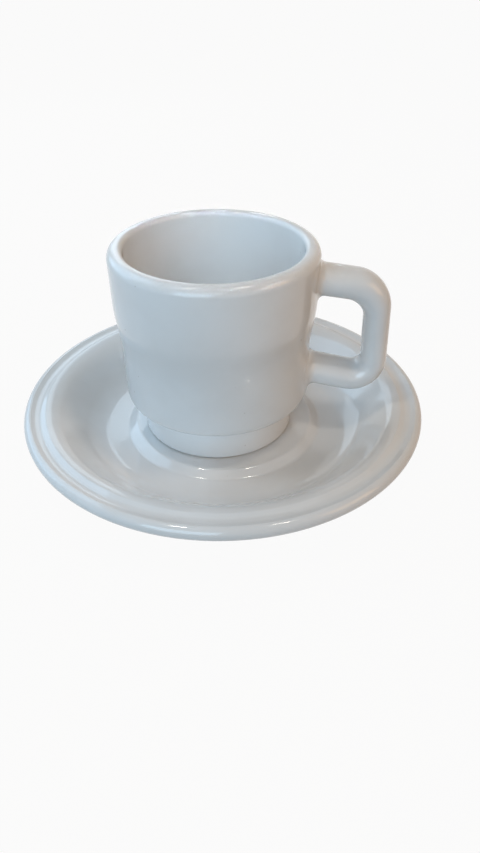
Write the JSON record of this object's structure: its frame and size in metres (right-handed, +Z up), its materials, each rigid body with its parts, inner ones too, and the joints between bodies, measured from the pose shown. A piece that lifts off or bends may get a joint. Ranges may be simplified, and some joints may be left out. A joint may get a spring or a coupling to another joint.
{
  "type": "coffee cup with saucer",
  "caption": "White glazed coffee cup with a squared loop handle and a tall stacking foot, standing on a saucer with a beaded rim and a raised seat.",
  "frame": {"origin": "on the saucer's axis, at the underside of its foot ring", "axes": "+Z up along the saucer's axis, +X from the cup towards its handle"},
  "size_m": [0.15, 0.15, 0.0802],
  "materials": {
    "saucer": "gloss",
    "cup_body": "gloss",
    "cup_handle": "gloss"
  },
  "bodies": {
    "saucer": {"saucer": "saucer"},
    "cup": {"cup_body": "cup_body", "cup_handle": "cup_handle"}
  },
  "joints": [
    {"name": "cup_lift", "type": "slide", "parent": "saucer", "child": "cup", "axis": [0, 0, 1], "range_m": [0, 0.1]}
  ]
}
